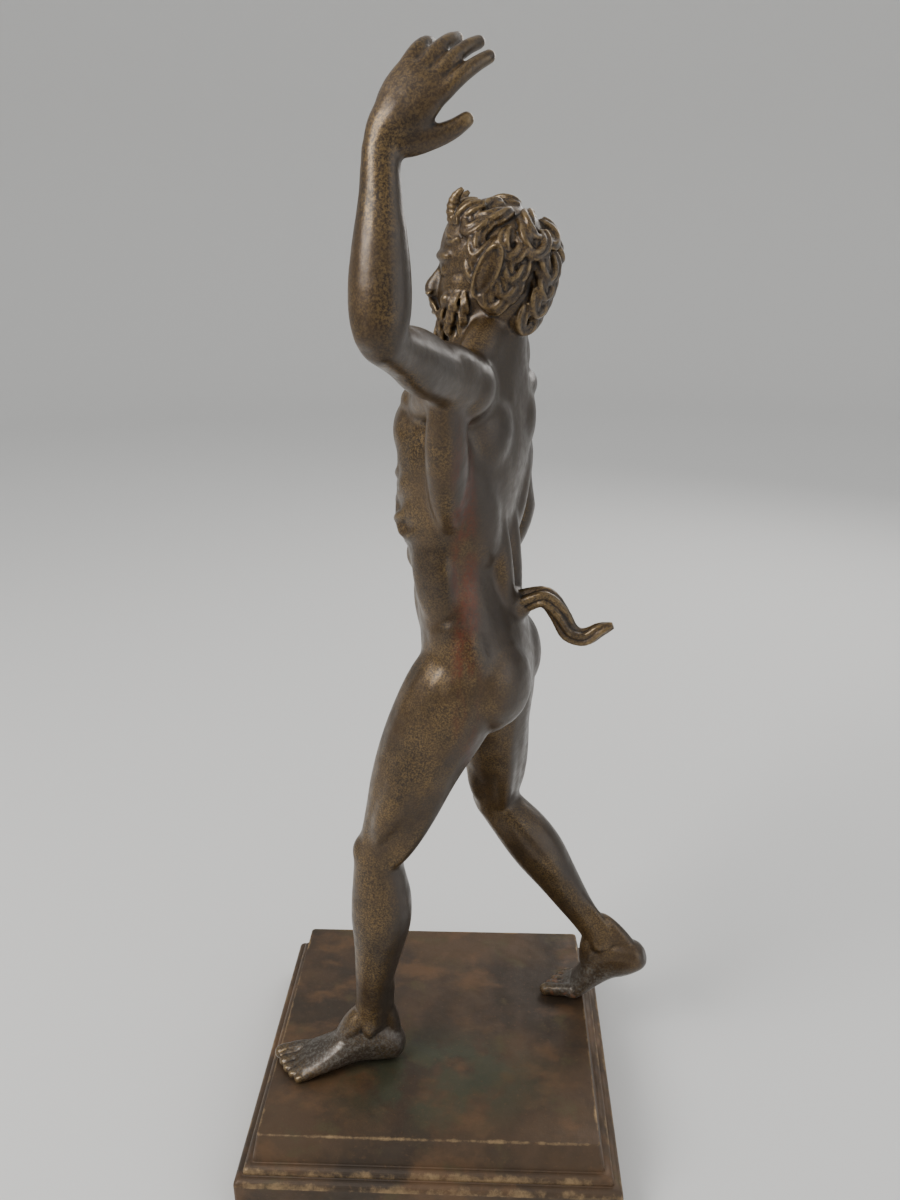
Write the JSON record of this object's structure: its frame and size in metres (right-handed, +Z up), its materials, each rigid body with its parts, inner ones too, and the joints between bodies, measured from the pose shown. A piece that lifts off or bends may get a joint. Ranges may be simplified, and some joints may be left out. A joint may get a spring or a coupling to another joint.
{
  "type": "faun statue",
  "caption": "Standing bronze figure of a striding, bearded faun with one arm raised, on a moulded square plinth.",
  "frame": {"origin": "centre of the plinth's underside", "axes": "+Z up; the figure strides along -X and turns its left side, with the raised arm, to -Y; +Y is its right side"},
  "size_m": [0.3263, 0.3087, 0.7776],
  "materials": {
    "faun": "cast bronze with a satin brown-gold speckled patina, darker and greyer on the back and in the hollows",
    "plinth": "cast bronze, matt brown patina with copper-brown blotches, a little verdigris on top and worn, lighter edges"
  },
  "bodies": {
    "root": {"faun": "faun", "plinth": "plinth"}
  },
  "joints": []
}
